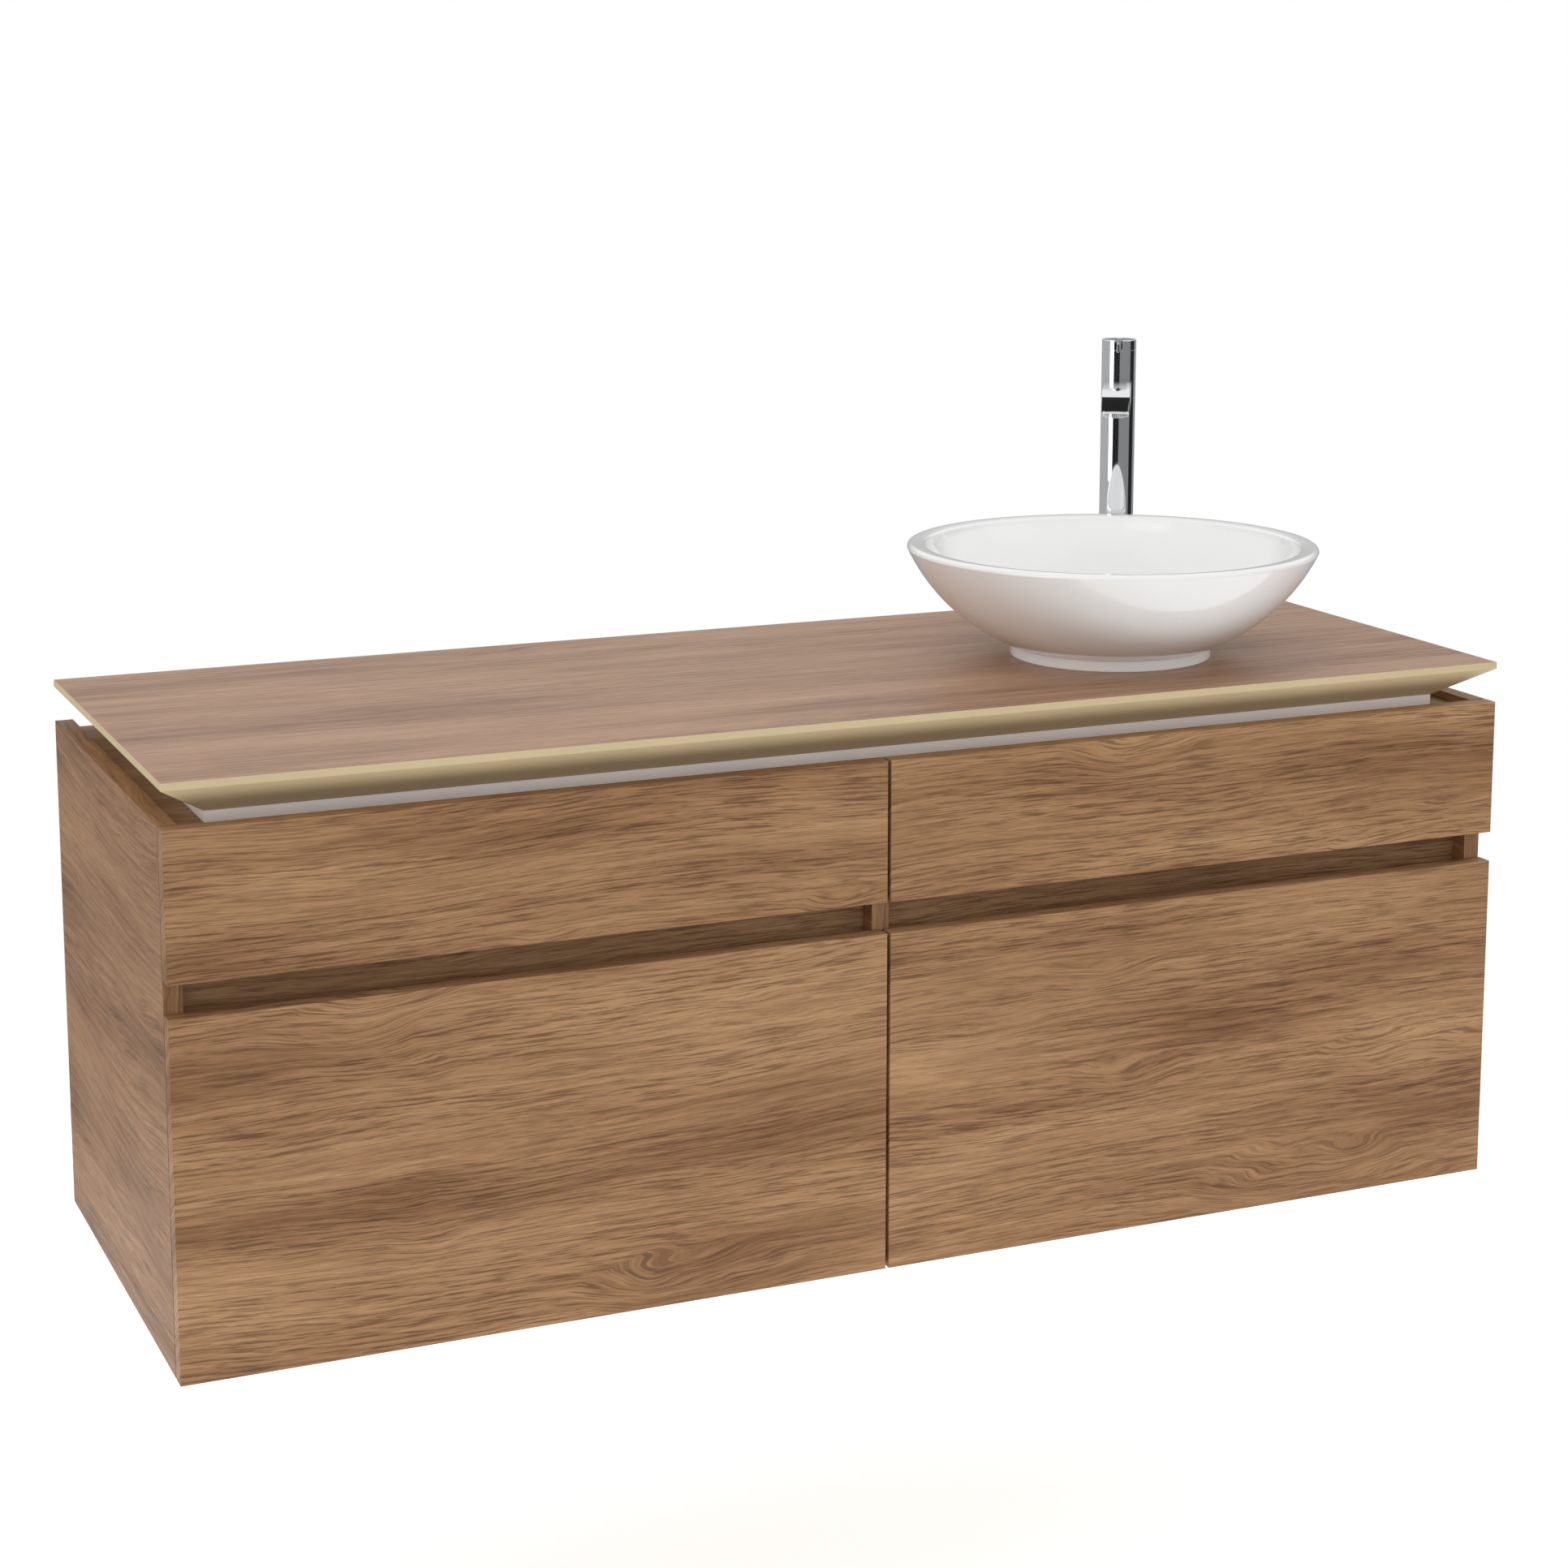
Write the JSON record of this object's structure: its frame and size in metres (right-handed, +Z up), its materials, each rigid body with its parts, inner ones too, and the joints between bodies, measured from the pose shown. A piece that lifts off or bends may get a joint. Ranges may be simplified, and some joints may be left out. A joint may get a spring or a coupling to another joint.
{
  "type": "vessel sink on vanity",
  "caption": "Wall-hung wooden vanity with grip-gap drawers on full-extension runners, a bevelled countertop, a round vessel sink with waste and trap, and a tall single-lever mixer tap.",
  "frame": {"origin": "middle of the four wall-hanger holes, on the wall plane", "axes": "+Z up, +X along the width to the right of someone facing the unit, +Y into the wall, so the drawers open towards -Y"},
  "size_m": [1.4, 0.5155, 0.8664],
  "materials": {
    "oak": "brown oak decor, fine matt grain",
    "oak_worktop": "brown oak decor, matt",
    "champagne": "satin champagne lacquer on board",
    "white_lacquer": "matt white",
    "carcass_board": "plain board",
    "steel": "zinc plated",
    "drawer_metal": "pale grey powder coat",
    "drawer_board": "light grey linen decor",
    "grey_plastic": "moulded",
    "ceramic": "white glaze",
    "rubber": "black",
    "chrome": "polished",
    "brass": "raw",
    "white_plastic": "smooth white"
  },
  "bodies": {
    "cabinet": {"side_panel_left": "oak", "side_panel_right": "oak", "centre_partition": "oak", "bottom_panel_left": "oak", "bottom_panel_right": "oak", "top_board": "oak", "spacer_board": "white_lacquer", "countertop_core": "champagne", "countertop_laminate": "oak_worktop", "hanging_rail_left": "carcass_board", "hanging_rail_right": "carcass_board", "wall_brackets": "steel", "back_panel_left": "carcass_board", "back_panel_right": "carcass_board", "grip_rail_left": "oak", "grip_rail_right": "oak", "runners_fixed": "steel", "basin": "ceramic", "basin_seal": "rubber", "waste_fitting": "chrome", "waste_nut": "brass", "trap_down_pipe": "white_plastic", "trap_slip_nuts": "white_plastic", "trap_head": "white_plastic", "trap_cup": "white_plastic", "trap_outlet_pipe": "white_plastic", "tap_body": "chrome", "aerator": "chrome", "cartridge": "grey_plastic", "tap_shank": "brass", "tap_nut": "brass"},
    "upper_left_drawer": {"upper_left_drawer_front": "oak", "upper_left_drawer_side_left": "drawer_metal", "upper_left_drawer_side_right": "drawer_metal", "upper_left_drawer_bottom": "drawer_board", "upper_left_drawer_back": "drawer_board"},
    "upper_left_drawer_runners": {"upper_left_drawer_runners": "steel"},
    "upper_right_drawer": {"upper_right_drawer_front": "oak", "upper_right_drawer_side_left": "drawer_metal", "upper_right_drawer_side_right": "drawer_metal", "upper_right_drawer_bottom": "drawer_board", "upper_right_drawer_back": "drawer_board", "upper_right_drawer_pipe_guard": "grey_plastic"},
    "upper_right_drawer_runners": {"upper_right_drawer_runners": "steel"},
    "lower_left_drawer": {"lower_left_drawer_front": "oak", "lower_left_drawer_side_left": "drawer_metal", "lower_left_drawer_side_right": "drawer_metal", "lower_left_drawer_bottom": "drawer_board", "lower_left_drawer_back": "drawer_board"},
    "lower_left_drawer_runners": {"lower_left_drawer_runners": "steel"},
    "lower_right_drawer": {"lower_right_drawer_front": "oak", "lower_right_drawer_side_left": "drawer_metal", "lower_right_drawer_side_right": "drawer_metal", "lower_right_drawer_bottom": "drawer_board", "lower_right_drawer_back": "drawer_board"},
    "lower_right_drawer_runners": {"lower_right_drawer_runners": "steel"},
    "waste_cover": {"waste_cover": "chrome"},
    "tap_cap": {"tap_cap": "chrome", "lever_pin": "steel"},
    "tap_lever": {"tap_lever": "chrome"}
  },
  "joints": [
    {"name": "upper_left_drawer_slide", "type": "slide", "parent": "cabinet", "child": "upper_left_drawer", "axis": [0, -1, 0], "range_m": [0, 0.4]},
    {"name": "upper_left_drawer_runner_slide", "type": "slide", "parent": "cabinet", "child": "upper_left_drawer_runners", "axis": [0, -1, 0], "range_m": [0, 0.2]},
    {"name": "upper_right_drawer_slide", "type": "slide", "parent": "cabinet", "child": "upper_right_drawer", "axis": [0, -1, 0], "range_m": [0, 0.4]},
    {"name": "upper_right_drawer_runner_slide", "type": "slide", "parent": "cabinet", "child": "upper_right_drawer_runners", "axis": [0, -1, 0], "range_m": [0, 0.2]},
    {"name": "lower_left_drawer_slide", "type": "slide", "parent": "cabinet", "child": "lower_left_drawer", "axis": [0, -1, 0], "range_m": [0, 0.4]},
    {"name": "lower_left_drawer_runner_slide", "type": "slide", "parent": "cabinet", "child": "lower_left_drawer_runners", "axis": [0, -1, 0], "range_m": [0, 0.2]},
    {"name": "lower_right_drawer_slide", "type": "slide", "parent": "cabinet", "child": "lower_right_drawer", "axis": [0, -1, 0], "range_m": [0, 0.4]},
    {"name": "lower_right_drawer_runner_slide", "type": "slide", "parent": "cabinet", "child": "lower_right_drawer_runners", "axis": [0, -1, 0], "range_m": [0, 0.2]},
    {"name": "waste_cover_lift", "type": "slide", "parent": "cabinet", "child": "waste_cover", "axis": [0, 0, 1], "range_m": [0, 0.012]},
    {"name": "tap_cap_turn", "type": "hinge", "parent": "cabinet", "child": "tap_cap", "pos_m": [0.47496, -0.09295, 0.417], "axis": [0, 0, 1], "range_deg": [-45, 45]},
    {"name": "tap_lever_lift", "type": "hinge", "parent": "tap_cap", "child": "tap_lever", "pos_m": [0.47801, -0.08778, 0.4236], "axis": [-0.8616, 0.5075, 0], "range_deg": [0, 22]}
  ],
  "couplings": [
    {"joint": "upper_left_drawer_runner_slide", "follows": "upper_left_drawer_slide", "ratio": 0.5},
    {"joint": "upper_right_drawer_runner_slide", "follows": "upper_right_drawer_slide", "ratio": 0.5},
    {"joint": "lower_left_drawer_runner_slide", "follows": "lower_left_drawer_slide", "ratio": 0.5},
    {"joint": "lower_right_drawer_runner_slide", "follows": "lower_right_drawer_slide", "ratio": 0.5}
  ]
}
